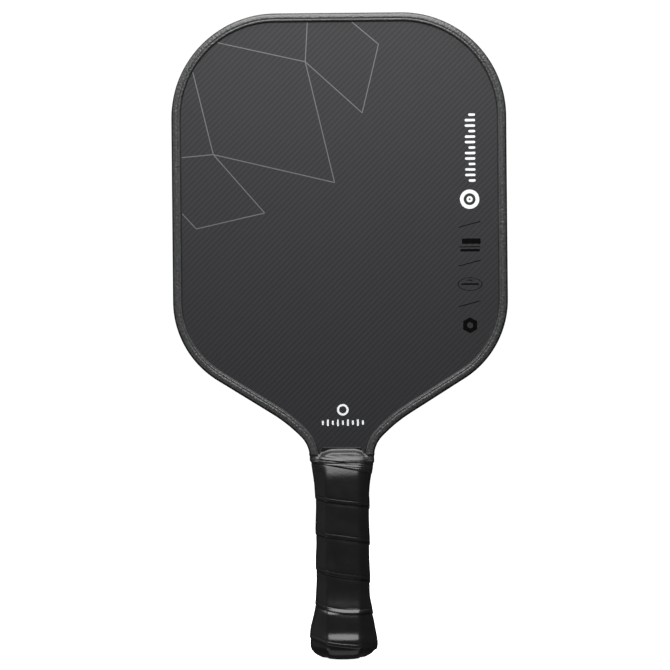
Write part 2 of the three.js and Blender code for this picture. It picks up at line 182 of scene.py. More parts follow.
class Shading:
    """A material's node graph, with short calls for what the finishes share. Lengths are millimetres."""

    def __init__(self, name: str) -> None:
        """Starts a material with one Principled shader.

        Args:
            name: The material's name.
        """
        self.material = bpy.data.materials.new(name)
        self.material.use_nodes = True
        self.tree = self.material.node_tree
        self.shader = self.tree.nodes["Principled BSDF"]
        place = self.node("ShaderNodeTexCoord").outputs["Object"]
        scale = self.node("ShaderNodeVectorMath", operation="SCALE")
        scale.inputs["Scale"].default_value = 1 / MM
        self.tree.links.new(place, scale.inputs[0])
        self.place = scale.outputs[0]

    def node(self, kind: str, **settings: object) -> bpy.types.Node:
        """Adds a node with the given settings.

        Args:
            kind: The node's type.
            settings: Its settings by name.

        Returns:
            The node.
        """
        made = self.tree.nodes.new(kind)
        for key, value in settings.items():
            setattr(made, key, value)
        return made

    def feed(self, socket: Socket, value: object) -> None:
        """Gives a socket a number, a colour or another socket's value.

        Args:
            socket: The socket to feed.
            value: A number, a tuple, or an output socket to link.
        """
        if isinstance(value, Socket):
            self.tree.links.new(value, socket)
        else:
            socket.default_value = value

    def math(self, operation: str, *values: object) -> Socket:
        """Works out one arithmetic step.

        Args:
            operation: The Math node's operation.
            *values: Its inputs, as numbers or sockets.

        Returns:
            The result's socket.
        """
        made = self.node("ShaderNodeMath", operation=operation)
        for socket, value in zip(made.inputs, values):
            self.feed(socket, value)
        return made.outputs[0]

    def noise(self, size: float, detail: float, stretch: Point = (1, 1, 1)) -> Socket:
        """Gives a noise with blotches of about the given size.

        Args:
            size: A blotch's size in millimetres.
            detail: How many finer layers it has.
            stretch: How much denser it is along each axis.

        Returns:
            The noise's value, about 0 to 1.
        """
        mapping = self.node("ShaderNodeMapping")
        mapping.inputs["Scale"].default_value = stretch
        self.feed(mapping.inputs["Vector"], self.place)
        made = self.node("ShaderNodeTexNoise")
        made.inputs["Scale"].default_value = 1 / size
        made.inputs["Detail"].default_value = detail
        self.feed(made.inputs["Vector"], mapping.outputs[0])
        return made.outputs["Fac"]

    def between(self, share: object, low: object, high: object) -> Socket:
        """Mixes two numbers by a share.

        Args:
            share: The share of the second number, 0 to 1.
            low: The number at share 0.
            high: The number at share 1.

        Returns:
            The mixed number's socket.
        """
        made = self.node("ShaderNodeMapRange")
        self.feed(made.inputs["Value"], share)
        self.feed(made.inputs["To Min"], low)
        self.feed(made.inputs["To Max"], high)
        return made.outputs[0]

    def tint(self, share: object, low: Colour, high: Colour) -> Socket:
        """Mixes two colours by a share.

        Args:
            share: The share of the second colour, 0 to 1.
            low: The linear colour at share 0.
            high: The linear colour at share 1.

        Returns:
            The mixed colour's socket.
        """
        made = self.node("ShaderNodeMix", data_type="RGBA")
        self.feed(made.inputs[0], share)
        self.feed(made.inputs[6], (*low, 1))
        self.feed(made.inputs[7], (*high, 1))
        return made.outputs[2]

    def bump(self, height: object, depth: float, strength: float = 1.0, under: object = None) -> Socket:
        """Raises the surface by a height pattern.

        Args:
            height: The pattern, 0 to 1.
            depth: How far a height of 1 stands out, in millimetres.
            strength: How strongly it shows.
            under: Another bump's normal to build on.

        Returns:
            The normal's socket.
        """
        made = self.node("ShaderNodeBump")
        made.inputs["Strength"].default_value = strength
        made.inputs["Distance"].default_value = depth * MM
        self.feed(made.inputs["Height"], height)
        if under is not None:
            self.feed(made.inputs["Normal"], under)
        return made.outputs[0]

    def dress(self, **inputs: object) -> Material:
        """Feeds the shader's sockets and gives the material.

        Args:
            **inputs: Socket names with underscores for spaces, and their values.

        Returns:
            The material.
        """
        for name, value in inputs.items():
            socket = self.shader.inputs[name.replace("_", " ")]
            if isinstance(value, tuple) and len(value) == 3:
                value = (*value, 1)
            self.feed(socket, value)
        return self.material


@dataclass(frozen=True)
class MottledFinish:
    """A plain material with a blotched tone, an uneven gloss and a fine grain."""

    name: str
    dark: Colour
    light: Colour
    blotch: float = 6.0
    gloss: Pair = (0.5, 0.6)
    grain: float = 0.8
    grain_depth: float = 0.03
    metallic: float = 0.0

    def material(self) -> Material:
        """Builds the material.

        Returns:
            The material.
        """
        shading = Shading(self.name)
        blotches = shading.noise(self.blotch, 3)
        fine = shading.noise(self.grain, 2)
        return shading.dress(
            Base_Color=shading.tint(blotches, self.dark, self.light),
            Roughness=shading.between(fine, *self.gloss),
            Metallic=self.metallic,
            Normal=shading.bump(fine, self.grain_depth),
        )


@dataclass(frozen=True)
class TwillFinish:
    """Carbon cloth in a two-by-two twill: flat tows over two and under two, in satin resin."""

    name: str
    tow: float = 0.92
    warp: Colour = (0.0140, 0.0142, 0.0172)
    weft: Colour = (0.0040, 0.0041, 0.0060)
    warp_roughness: float = 0.47
    weft_roughness: float = 0.52
    height: float = 0.03
    crown: float = 0.45
    wear: float = 0.5

    def material(self) -> Material:
        """Builds the weave from the place across and along each tow.

        Returns:
            The material.
        """
        shading = Shading(self.name)
        apart = shading.node("ShaderNodeSeparateXYZ")
        shading.feed(apart.inputs[0], shading.place)
        across = shading.math("DIVIDE", apart.outputs["X"], self.tow)
        along = shading.math("DIVIDE", apart.outputs["Z"], self.tow)
        column, row = shading.math("FLOOR", across), shading.math("FLOOR", along)
        in_column, in_row = shading.math("FRACT", across), shading.math("FRACT", along)
        step = shading.math("FLOORED_MODULO", shading.math("SUBTRACT", column, row), 4.0)
        warp_up = shading.math("LESS_THAN", step, 1.5)
        warp_run = shading.math("ADD", shading.math("SUBTRACT", 1.0, step), in_row)
        weft_run = shading.math("ADD", shading.math("SUBTRACT", step, 2.0), in_column)
        place_on_float = shading.math("DIVIDE", shading.between(warp_up, weft_run, warp_run), 2.0)
        place_on_tow = shading.between(warp_up, in_row, in_column)
        far_side = shading.math("SUBTRACT", 1.0, place_on_tow)
        bulge = shading.math("MULTIPLY", 4.0, shading.math("MULTIPLY", place_on_tow, far_side))
        crown = shading.math("SINE", shading.math("MULTIPLY", place_on_float, math.pi))
        rise = shading.math("MULTIPLY_ADD", crown, self.crown, 1 - self.crown)
        height = shading.math("MULTIPLY", shading.math("SQRT", bulge), rise)
        worn = warp_up
        for pattern in (shading.noise(45, 2), shading.noise(0.5, 1)):
            offset = shading.math("SUBTRACT", pattern, 0.5)
            worn = shading.math("ADD", worn, shading.math("MULTIPLY", offset, self.wear))
        return shading.dress(
            Base_Color=shading.tint(worn, self.weft, self.warp),
            Roughness=shading.between(warp_up, self.weft_roughness, self.warp_roughness),
            Normal=shading.bump(height, self.height, 0.6),
        )


@dataclass(frozen=True)
class GripFinish:
    """Soft grip skin: near black, lightly creased leather grain, with a low even gloss."""

    name: str = "grip_skin_finish"
    dark: Colour = (0.0062, 0.0058, 0.0062)
    light: Colour = (0.0135, 0.0125, 0.0133)
    gloss: Pair = (0.21, 0.29)

    def material(self) -> Material:
        """Builds the grain from pores over slow creases.

        Returns:
            The material.
        """
        shading = Shading(self.name)
        creases = shading.noise(4.5, 3, (1, 1, 1.8))
        pores = shading.noise(0.55, 2)
        scuffs = shading.noise(14, 3)
        slow = shading.bump(creases, 0.12, 0.35)
        return shading.dress(
            Base_Color=shading.tint(scuffs, self.dark, self.light),
            Roughness=shading.between(shading.noise(7, 3), *self.gloss),
            Normal=shading.bump(pores, 0.02, 0.6, slow),
        )


@dataclass(frozen=True)
class TapeFinish:
    """Stretched glossy tape: smooth black film with faint pulled streaks."""

    name: str = "finishing_tape_finish"
    dark: Colour = (0.004, 0.004, 0.005)
    light: Colour = (0.010, 0.010, 0.012)
    gloss: Pair = (0.23, 0.33)

    def material(self) -> Material:
        """Builds the film with streaks drawn out round the handle.

        Returns:
            The material.
        """
        shading = Shading(self.name)
        streaks = shading.noise(1.6, 2, (0.25, 0.25, 1.6))
        dust = shading.noise(0.7, 2)
        return shading.dress(
            Base_Color=shading.tint(dust, self.dark, self.light),
            Roughness=shading.between(streaks, *self.gloss),
            Normal=shading.bump(streaks, 0.05, 0.5),
        )


@dataclass(frozen=True)
class GuardFinish:
    """Moulded guard lip: satin black plastic with an orange-peel texture, coloured lighter than the rim as
    painted light where the lip faces the lamps.
    """

    name: str
    dark: Colour = (0.004, 0.004, 0.004)
    light: Colour = (0.088, 0.090, 0.092)
    gloss: Pair = (0.27, 0.38)
    peel: float = 1.5
    peel_depth: float = 0.4

    def material(self) -> Material:
        """Builds the peel from soft cells and a finer grain, with painted light and shade on the cells in its
        colour.

        Returns:
            The material.
        """
        shading = Shading(self.name)
        peel = shading.noise(self.peel, 1)
        fine = shading.noise(0.35, 1)
        first = shading.bump(peel, self.peel_depth, 0.8)
        # The base colour follows the peel's relief, lighter on its raised cells and darker in its hollows:
        # painted light and shade on the peel.
        return shading.dress(
            Base_Color=shading.tint(peel, self.dark, self.light),
            Roughness=shading.between(fine, *self.gloss),
            Normal=shading.bump(fine, 0.02, 0.5, first),
        )


@dataclass(frozen=True)
class InkFinish:
    """Screen-printed ink: an even film with a slightly uneven cover and a faint relief."""

    name: str
    faint: Colour
    full: Colour
    roughness: Pair = (0.4, 0.5)

    def material(self) -> Material:
        """Builds the film with uneven cover.

        Returns:
            The material.
        """
        shading = Shading(self.name)
        cover = shading.noise(1.2, 3)
        return shading.dress(
            Base_Color=shading.tint(cover, self.faint, self.full),
            Roughness=shading.between(cover, *self.roughness),
            Normal=shading.bump(cover, 0.01, 0.5),
        )


# --- head --------------------------------------------------------------------


@dataclass(frozen=True)
class Step:
    """One step round the head: a straight run, or a turn in degrees on a radius, positive to the right."""

    run: float = 0.0
    radius: float = 0.0
    turn: float = 0.0


@dataclass(frozen=True)
class HeadOutline:
    """The head's silhouette, its right half, from the middle of the top edge round to the neck."""

    length: float = 401.0
    width: float = 208.0
    top_corner: Step = Step(radius=65.0, turn=90.0)
    side: Step = Step(run=113.5)
    low_corner: Step = Step(radius=58.0, turn=58.0)
    shoulder: Step = Step(run=39.6)
    neck_sweep: Step = Step(radius=95.0, turn=-14.0)
    neck_bend: Step = Step(radius=18.0, turn=-34.0)
    degrees_per_step: float = 2.0

    def steps(self) -> list[Step]:
        """Gives the steps in walking order.

        Returns:
            The steps.
        """
        top = Step(run=self.width / 2 - self.top_corner.radius)
        return [top, self.top_corner, self.side, self.low_corner, self.shoulder, self.neck_sweep,
                self.neck_bend]

    def sweep(self, maker: BMesh, last_run: float) -> None:
        """Sweeps the wire that stands at the middle of the top edge along the silhouette's right half.

        Args:
            maker: Holds only the wire, in the plane x = 0.
            last_run: A straight run to add below the neck's bend.
        """
        pen = Vector((0, 0, self.length))
        heading = Vector((1, 0, 0))
        edges = maker.edges[:]
        for step in [*self.steps(), Step(run=last_run)]:
            if step.run:
                made = bmesh.ops.extrude_edge_only(maker, edges=edges)["geom"]
                bmesh.ops.translate(maker, verts=only(made, BMVert), vec=heading * step.run)
                pen = pen + heading * step.run
            else:
                right = Matrix.Rotation(math.pi / 2, 3, "Y") @ heading
                centre = pen + right * math.copysign(step.radius, step.turn)
                verts = list({vert for edge in edges for vert in edge.verts})
                made = bmesh.ops.spin(
                    maker, geom=[*verts, *edges], cent=centre, axis=(0, 1, 0), dvec=(0, 0, 0),
                    angle=math.radians(step.turn), steps=math.ceil(abs(step.turn) / self.degrees_per_step),
                    use_merge=False, use_duplicate=False)["geom_last"]
                rotation = Matrix.Rotation(math.radians(step.turn), 3, "Y")
                pen = centre + rotation @ (pen - centre)
                heading = rotation @ heading
            fresh = set(only(made, BMVert))
            edges = [edge for edge in only(made, BMEdge) if fresh.issuperset(edge.verts)]


@dataclass(frozen=True)
class EdgeGuard:
    """The moulded guard: a rounded rim, a lip with two grained beads, and a channel for the board."""

    outline: HeadOutline = HeadOutline()
    end_height: float = 126.5
    last_run: float = 14.0
    rim: tuple[Pair, ...] = (
        (0.0, 0.0), (0.0, 3.0), (0.03, 5.2), (0.13, 6.1), (0.32, 6.9), (0.58, 7.6), (0.8, 8.1))
    lip: tuple[Pair, ...] = (
        (1.02, 8.42), (1.35, 8.7), (1.85, 8.92), (2.5, 9.05), (3.0, 9.15), (3.4, 9.13), (3.75, 9.03),
        (3.95, 8.93), (4.1, 8.88), (4.25, 8.93), (4.5, 9.04), (4.85, 9.06), (5.14, 8.95), (5.36, 8.72))
    channel: tuple[Pair, ...] = (
        (5.5, 8.45), (5.8, 8.2), (6.12, 8.1), (6.1, 8.06), (1.7, 8.06), (1.6, 7.96), (1.6, 0.0))
    # Lip faces deeper than lip_depth that face along Y by more than lip_facing take the lighter copy of the
    # plastic: painted light.
    lip_depth: float = 8.45
    lip_facing: float = 0.2

    def build(self, rim_finish: Material, lip_finish: Material) -> bpy.types.Object:
        """Sweeps the section round the head and mirrors it.

        Args:
            rim_finish: The rim's and channel's material, a dark copy of the guard's plastic: painted shade.
            lip_finish: The grained lip's material, a lighter copy of the same plastic: painted light.

        Returns:
            The guard.
        """
        maker = bmesh.new()
        front = [*self.rim, *self.lip, *self.channel]
        loop = [(inset, -depth) for inset, depth in front] + front[-2:0:-1]
        verts = [maker.verts.new((0, depth, self.outline.length - inset)) for inset, depth in loop]
        for first, second in zip(verts, [*verts[1:], verts[0]]):
            maker.edges.new((first, second))
        self.outline.sweep(maker, self.last_run)
        bmesh.ops.bisect_plane(
            maker, geom=[*maker.verts, *maker.edges, *maker.faces], dist=1e-4,
            plane_co=(0, 0, self.end_height), plane_no=(0, 0, -1), clear_outer=True)
        bmesh.ops.mirror(
            maker, geom=[*maker.verts, *maker.edges, *maker.faces],
            matrix=Matrix.Identity(4), merge_dist=1e-3, axis="X")
        closed(maker)
        self._mark_lip(maker)
        guard = finished("edge_guard_moulding", maker, [rim_finish, lip_finish], 40)
        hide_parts("edge_guard")
        return guard

    def _mark_lip(self, maker: BMesh) -> None:
        """Gives the lip's faces, chosen by facing front or back, the lighter second material: painted light
        on a plastic that is one with the rim.

        Args:
            maker: The guard's mesh.
        """
        for face in maker.faces:
            deep = abs(face.calc_center_median().y) > self.lip_depth
            if deep and abs(face.normal.y) > self.lip_facing:
                face.material_index = 1


@dataclass(frozen=True)
class FacePrints:
    """The prints on one face: a net of fine lines and plain marks down the side and above the neck."""

    side: Side
    clearance: float = 0.004
    film: float = 0.05
    line_width: float = 0.55
    net: tuple[tuple[Pair, Pair], ...] = (
        ((-20.5, 370.5), (-19.0, 395.0)), ((-20.5, 370.5), (-75.5, 383.0)), ((-20.5, 370.5), (14.5, 338.5)),
        ((14.5, 338.5), (25.0, 381.0)), ((25.0, 381.0), (8.5, 395.0)), ((-20.5, 370.5), (-3.0, 295.5)),
        ((-78.0, 313.5), (-90.2, 364.5)), ((-78.0, 313.5), (-97.6, 311.8)), ((-78.0, 313.5), (-3.0, 295.5)),
        ((-78.0, 313.5), (-46.5, 277.0)), ((-46.5, 277.0), (-89.0, 267.5)), ((-89.0, 267.5), (-97.6, 277.0)))
    slant_heights: tuple[float, ...] = (268.8, 244.8, 219.7)
    gloss_bars: tuple[tuple[Pair, Pair], ...] = (
        ((81.4, 258.4), (11.6, 3.3)), ((80.6, 254.9), (13.0, 0.45)), ((80.6, 252.8), (12.0, 1.5)),
        ((80.4, 231.8), (11.0, 1.0)), ((80.4, 234.2), (3.0, 0.6)))

    def _stamp(self, maker: BMesh, shape: BMesh, at: Pair, turn: float) -> None:
        """Gives a flat shape the film's thickness and adds it to the prints on the paddle's face.

        Args:
            maker: The prints to add to.
            shape: The shape, lying flat round the origin. It is freed.
            at: Where its middle goes, across and up.
            turn: Its turn in radians, from lying across.
        """
        made = bmesh.ops.extrude_face_region(shape, geom=shape.faces[:])["geom"]
        bmesh.ops.translate(shape, verts=only(made, BMVert), vec=(0, 0, self.film))
        stand = Matrix.Rotation(math.pi / 2, 4, "X") @ Matrix.Rotation(turn, 4, "Z")
        if self.side is Side.BACK:
            stand = Matrix.Rotation(math.pi, 4, "Z") @ stand
        out = self.side.value
        shift = Matrix.Translation((-out * at[0], out * (BOARD_HALF + self.clearance), at[1]))
        shape.transform(shift @ stand)
        bmesh.ops.recalc_face_normals(shape, faces=shape.faces[:])
        stamp = bpy.data.meshes.new("stamp")
        shape.to_mesh(stamp)
        shape.free()
        maker.from_mesh(stamp)
        bpy.data.meshes.remove(stamp)

    def bar(self, maker: BMesh, at: Pair, length: float, width: float, turn: float = 0.0,
            rounding: float = 0.4) -> None:
        """Prints a bar with rounded corners.

        Args:
            maker: The mesh to add to.
            at: Its middle, across and up.
            length: Its length.
            width: Its width.
            turn: Its turn in radians, from lying across.
            rounding: The rounding of its corners, as a share of half its width.
        """
        shape = bmesh.new()
        bmesh.ops.create_grid(shape, x_segments=1, y_segments=1, size=0.5)
        bmesh.ops.scale(shape, verts=shape.verts[:], vec=(length, width, 1))
        bmesh.ops.bevel(shape, geom=shape.verts[:], offset=rounding * width / 2, offset_type="OFFSET",
                        segments=3, profile=0.5, affect="VERTICES", material=-1)
        self._stamp(maker, shape, at, turn)

    def ring(self, maker: BMesh, at: Pair, outer: float, inner: float, corners: int = 48,
             squash: float = 1.0) -> None:
        """Prints a ring.

        Args:
            maker: The mesh to add to.
            at: Its middle, across and up.
            outer: Its outer radius.
            inner: Its inner radius.
            corners: How many sides it has.
            squash: Its height as a share of its breadth.
        """
        shape = bmesh.new()
        bmesh.ops.create_circle(shape, cap_ends=True, radius=outer, segments=corners)
        middle = shape.faces[:]
        bmesh.ops.inset_region(shape, faces=middle, thickness=outer - inner, use_boundary=True,
                               use_even_offset=True)
        bmesh.ops.delete(shape, geom=middle, context="FACES_ONLY")
        bmesh.ops.scale(shape, verts=shape.verts[:], vec=(1, squash, 1))
        self._stamp(maker, shape, at, 0.0)

    def stroke(self, maker: BMesh, start: Pair, end: Pair, width: float) -> None:
        """Prints a straight stroke between two points.

        Args:
            maker: The mesh to add to.
            start: Its start, across and up.
            end: Its end, across and up.
            width: Its width.
        """
        across, up = end[0] - start[0], end[1] - start[1]
        middle = ((start[0] + end[0]) / 2, (start[1] + end[1]) / 2)
        length = math.hypot(across, up) - 0.1
        self.bar(maker, middle, length, width, math.atan2(up, across))

    def build(self, line_ink: Material, white_ink: Material, gloss_ink: Material) -> None:
        """Prints the net, the white marks and the gloss black marks, each in its own ink.

        Args:
            line_ink: The net's ink.
            white_ink: The white marks' ink.
            gloss_ink: The gloss black marks' ink.
        """
        for name, lay_out, ink in (("line_net", self._line_net, line_ink),
                                   ("white_marks", self._white_marks, white_ink),
                                   ("gloss_marks", self._gloss_marks, gloss_ink)):
            maker = bmesh.new()
            lay_out(maker)
            finished(f"{self.side.name.lower()}_{name}", maker, [ink], 30)

    def _line_net(self, maker: BMesh) -> None:
        """Lays out the net's lines."""
        for start, end in self.net:
            self.stroke(maker, start, end, self.line_width)

    def _white_marks(self, maker: BMesh) -> None:
        """Lays out the white marks: ticks and a ring up the side, a ring and ticks above the neck.

        Args:
            maker: The mesh to add to.
        """
        long, short, pitch = 6.4, 4.2, 3.4
        for index in range(13):
            length = long if index % 3 else short
            at = (81.2 + (long - length) / 2, 296.0 + pitch * index)
            self.bar(maker, at, length, 1.5, rounding=0.9)
        for at, outer, inner, corners in (((80.6, 284.4), 6.0, 3.7, 48), ((80.6, 284.4), 1.9, 0.6, 24),
                                          ((0.8, 154.6), 3.6, 2.3, 48)):
            self.ring(maker, at, outer, inner, corners)
        long, short, pitch = 4.0, 2.6, 3.1
        for index in range(9):
            length = long if index % 2 else short
            self.bar(maker, (-11.6 + pitch * index, 146.6), length, 1.15, math.pi / 2)

    def _gloss_marks(self, maker: BMesh) -> None:
        """Lays out the gloss marks: slanting strokes with bars, a pill and a six-sided ring between them.

        Args:
            maker: The mesh to add to.
        """
        for height in self.slant_heights:
            self.stroke(maker, (73.5, height - 1.8), (87.2, height + 1.8), 0.5)
        for at, (length, width) in self.gloss_bars:
            self.bar(maker, at, length, width)
        self.ring(maker, (80.4, 231.8), 7.7, 7.2, squash=0.53)
        self.ring(maker, (80.2, 206.3), 5.0, 2.4, corners=6)


# --- handle ------------------------------------------------------------------


@dataclass(frozen=True)
class Flare:
    """A growth of the handle's half sizes between two heights."""

    width: float
    depth: float
    flat: float
    side: float
    start: float
    full: float


@dataclass(frozen=True)
class HandleShape:
    """The wrapped handle's eight-sided surface."""

    waist: Sizes = (16.5, 14.5, 10.4, 8.4)
    flares: tuple[Flare, ...] = (
        Flare(4.1, 0, -0.2, -0.2, 42, 10), Flare(0, 2.0, 0, 0, 44, 20), Flare(0, 1.2, 0, 0, 32, 28.8),
        Flare(0, 0.9, 0, 0, 18.5, 12), Flare(2.85, 0, 0, 2.0, 100, 126))
    slope_start: float = 112.6
    slope: float = 0.245
    slope_rounding: float = 1.1
    dome_height: float = 8.6
    dome_power: float = 2.4
    end_disc_share: float = 0.44
    sharpness: float = 38.0
    dome_softening: Fade = Fade(-16.0, 13, 5)

    def sizes(self, height: float) -> Sizes:
        """Gives the half width, half depth and half breadths of the front and side flats at a height.

        Args:
            height: The height on the handle.

        Returns:
            The four half sizes.
        """
        sizes = list(self.waist)
        for flare in self.flares:
            share = smooth_share(height, flare.start, flare.full)
            for index, growth in enumerate((flare.width, flare.depth, flare.flat, flare.side)):
                sizes[index] += share * growth
        past = height - self.slope_start
        rounding = self.slope_rounding
        drop = past if past > 4 * rounding else rounding * math.log1p(math.exp(past / rounding))
        sizes[1] -= self.slope * drop
        return tuple(sizes)

    def reach(self, sizes: Sizes, angle: float, softening: float = 0.0) -> float:
        """Gives the distance from the axis to the surface.

        Args:
            sizes: Half width, half depth, and half breadths of the front and side flats.
            angle: The direction, in radians from +X.
            softening: A change to the corners' sharpness, negative where they are rounder.

        Returns:
            The distance in millimetres.
        """
        width, depth, flat, side = sizes
        across, deep = abs(math.cos(angle)), abs(math.sin(angle))
        facet = math.hypot(depth - side, width - flat)
        normal = ((depth - side) / facet, (width - flat) / facet)
        distance = flat * normal[0] + depth * normal[1]
        terms = (across / width, deep / depth, (across * normal[0] + deep * normal[1]) / distance)
        sharpness = self.sharpness + softening
        return sum(term ** sharpness for term in terms) ** (-1 / sharpness)

    def _spread(self, height: float, angle: float) -> float:
        """Gives the distance from the axis at any height, the butt's dome among them.

        Args:
            height: The height on the handle.
            angle: The direction, in radians from +X.

        Returns:
            The distance in millimetres.
        """
        sizes = self.sizes(max(height, self.dome_height))
        whole = self.reach(sizes, angle, self.dome_softening.at(height))
        if height >= self.dome_height:
            return whole
        rise = min(max(1 - height / self.dome_height, 0.0), 1.0)
        flat = self.end_disc_share ** self.dome_power
        return whole * (1 - (1 - flat) * rise * rise) ** (1 / self.dome_power)

    def point(self, height: float, angle: float, lift: float) -> Vector:
        """Gives a point over the surface.

        Args:
            height: The height of the surface point.
            angle: The direction, in radians from +X.
            lift: How far it stands off the surface.

        Returns:
            The point in millimetres.
        """
        gap = 0.15
        spread = self._spread(height, angle)
        growth = self._spread(height + gap, angle) - self._spread(height - gap, angle)
        size = math.hypot(2 * gap, growth)
        radius = spread + lift * 2 * gap / size
        return Vector((radius * math.cos(angle), radius * math.sin(angle), height - lift * growth / size))


@dataclass(frozen=True)
class WoundGrip:
    """The grip: one cushioned strip wound up the handle from the butt, each turn lapping the one below."""

    shape: HandleShape
    rise: float = 21.7
    first_seam: float = 5.5
    dip: float = 1.575
    lap: float = 4.0
    foot: float = 1.1
    top: float = 123.0
    first_turn: float = -1.22
    last_turn: float = 5.36
    steps_per_turn: int = 120
    skin: float = 0.55
    ridge: float = 0.5
    ridge_place: float = 2.9
    groove: float = 0.12
    groove_place: float = 2.35
    edge: float = 0.24
    hem_rise: float = 0.55
    groove_spread: float = 0.27
    ridge_fall: float = 4.6
    swell: float = 0.14
    swell_place: float = 9.0
    swell_spread: float = 4.0
    under: float = -0.5
    tucks: tuple[Fade, ...] = (Fade(0.25, 0, 4.0), Fade(0.25, 4.0, 6.5))
    calming: Fade = Fade(-0.85, 111, 117)
    boldness: Fade = Fade(0.4, 40, 14)
    start_bulge: Fade = Fade(0.7, 17.0, 11.5)
    bulge_sides: Fade = Fade(1.0, 0.7, 0.95)
    buckle: float = 0.05
    skived_low: Pair = (0.14, 3.5)
    skived_high: Pair = (0.1, 6.0)
    hand: tuple[Pair, ...] = (
        (-2.0, 0.0), (-0.5, 0.0), (0.0, -0.5), (0.25, -1.05), (0.5, 1.5), (0.75, 1.2), (1.0, 0.8),
        (1.25, -2.2), (1.5, 0.9), (1.75, -0.4), (2.0, -1.8), (2.25, -1.75), (2.5, 0.9), (3.0, -0.1),
        (3.5, 0.5), (4.0, 0.9), (4.25, 0.35), (4.5, 1.2), (4.8, 1.2), (5.0, 2.6), (5.25, 2.8), (6.5, 3.0))
    across: tuple[float, ...] = (
        0.0, 0.05, 0.17, 0.32, 0.55, 0.95, 1.5, 1.9, 2.08, 2.22, 2.35, 2.48, 2.62, 2.85, 3.25, 3.8, 4.5, 5.4,
        6.5, 8.0, 9.8, 11.8, 13.8, 15.6, 17.2, 18.6, 19.6, 20.4, 21.0, 21.5, 22.0, 23.2, 24.8, 25.7)

    def _hand_laid(self, turn: float) -> float:
        """Gives how far the seam strays from an even winding, by eye and hand.

        Args:
            turn: How many turns from the right-hand side.

        Returns:
            The distance in millimetres, up if positive.
        """
        for (start, low), (end, high) in zip(self.hand, self.hand[1:]):
            if start <= turn <= end:
                return low + (high - low) * smooth_share(turn, start, end)
        return self.hand[-1][1]

    def seam(self, turn: float) -> float:
        """Gives the height of the strip's lower edge after so many turns from the right-hand side."""
        even = self.first_seam + self.rise * turn - self.dip * (1 - math.cos(2 * math.pi * turn))
        return even + self._hand_laid(turn)

    def lift(self, turn: float, height: float) -> float:
        """Gives how far the strip's outer surface stands off the handle's shape.

        Args:
            turn: How many turns from the right-hand side.
            height: The height on the handle.

        Returns:
            The lift in millimetres.
        """
        up, down = self._from_edges(turn, height)
        hem = self.edge + (self.ridge - self.edge) * smooth_share(up, 0, self.hem_rise)
        falling = bell(max(up - self.ridge_place, 0.0), self.ridge_fall)
        welt = -self.groove * bell(up - self.groove_place, self.groove_spread)
        swell = self.swell * bell(up - self.swell_place, self.swell_spread)
        over = (hem * falling + welt + swell) * (1 + self.calming.at(height)) * (1 + self.boldness.at(height))
        under = self.under + sum(tuck.at(down) for tuck in self.tucks)
        buckle = self.buckle * math.sin(7.3 * turn + 0.35 * height) * math.sin(2.1 * turn - 0.22 * height)
        ahead = self.bulge_sides.at(abs(math.sin(2 * math.pi * turn)))
        return over + under + buckle + self.start_bulge.at(height) * ahead

    def _from_edges(self, turn: float, height: float) -> Pair:
        """Gives the distances up from the strip's lower edge and down from its upper edge."""
        return height - self.seam(turn), self.seam(turn + 1) + self.lap - height

    def _thickness(self, up: float, down: float) -> float:
        """Gives the strip's thickness at distances from its two skived edges."""
        return min(thin + (self.skin - thin) * smooth_share(distance, 0, width)
                   for distance, (thin, width) in ((up, self.skived_low), (down, self.skived_high)))

    def _point(self, turn: float, row: int) -> Vector:
        """Places one corner of the strip's section.

        Args:
            turn: How many turns from the right-hand side.
            row: The corner's number, up the outside and back down the inside.

        Returns:
            Its place in millimetres.
        """
        count = len(self.across)
        outside = row < count
        share = self.across[row if outside else 2 * count - 1 - row] / self.across[-1]
        low = max(self.seam(turn), self.foot)
        high = min(self.seam(turn + 1) + self.lap, self.top)
        height = low + (high - low) * share
        lift = self.lift(turn, height)
        if not outside:
            lift -= self._thickness(*self._from_edges(turn, height))
        return self.shape.point(height, -2 * math.pi * turn, lift)

    def build(self, finish: Material) -> bpy.types.Object:
        """Winds the strip's section up the handle as a screw and lays it on the shape.

        Args:
            finish: The grip skin's material.

        Returns:
            The strip.
        """
        maker = bmesh.new()
        rows = maker.verts.layers.int.new("row")
        ring = bmesh.ops.create_circle(maker, radius=1, segments=2 * len(self.across))["verts"]
        for row, vert in enumerate(ring):
            vert[rows] = row
            vert.co = Vector((1, 0, 0))
        turns = self.last_turn - self.first_turn
        steps = round(turns * self.steps_per_turn)
        bmesh.ops.spin(
            maker, geom=[*maker.verts, *maker.edges], cent=(0, 0, 0), axis=(0, 0, 1),
            dvec=(0, 0, 1), angle=-2 * math.pi * turns, steps=steps, use_merge=False, use_duplicate=False)
        for vert in maker.verts:
            turn = self.first_turn + turns * vert.co.z / steps
            vert.co = self._point(turn, vert[rows])
        closed(maker, 1e-3)
        grip = finished("wound_grip", maker, [finish], 50)
        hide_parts("grip_skin")
        return grip


@dataclass(frozen=True)
class Crease:
    """A raised fold in the tape between two points on its front, given across and up."""

    start: Pair
    end: Pair
    height: float
    spread: float

    def rise(self, across: float, up: float) -> float:
        """Gives the fold's height at a place on the front.

        Args:
            across: The place across.
            up: The place up.

        Returns:
            The height in millimetres.
        """
        run = Vector((self.end[0] - self.start[0], self.end[1] - self.start[1]))
        away = Vector((across - self.start[0], up - self.start[1]))
        share = away.dot(run) / run.length_squared
        fade = smooth_share(share, -0.08, 0.15) * smooth_share(share, 1.08, 0.8)
        distance = (away - run * share).length
        return self.height * fade * bell(distance, self.spread)


